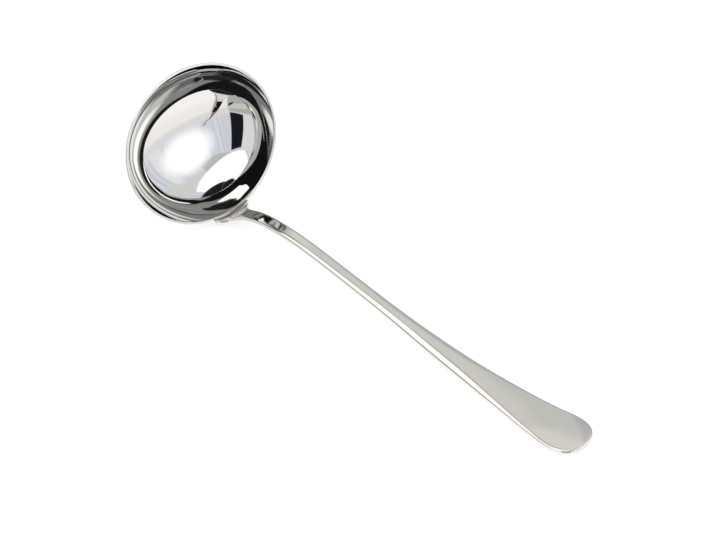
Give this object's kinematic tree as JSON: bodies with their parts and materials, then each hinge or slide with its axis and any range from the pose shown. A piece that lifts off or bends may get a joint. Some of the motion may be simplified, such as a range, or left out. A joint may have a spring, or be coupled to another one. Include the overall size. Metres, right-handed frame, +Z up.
{
  "type": "soup ladle",
  "caption": "Long-handled soup ladle: a deep oval sheet-steel bowl on an arched solid bar handle that widens to a rounded tip.",
  "frame": {"origin": "middle of the box's underside, on the table the ladle lies on", "axes": "+X runs from the bowl toward the tip of the handle, +Y across the bowl, +Z up as the ladle lies on its handle's foot and tip; the bowl opens toward +X, tilted up by 9.2 degrees"},
  "size_m": [0.3014, 0.0966, 0.0916],
  "materials": {
    "bowl_steel": "mirror polished stainless steel",
    "handle_steel": "satin polished stainless steel with bright edges",
    "weld_steel": "ground and polished weld bead"
  },
  "bodies": {
    "root": {"bowl": "bowl_steel", "handle": "handle_steel", "weld": "weld_steel"}
  },
  "joints": []
}
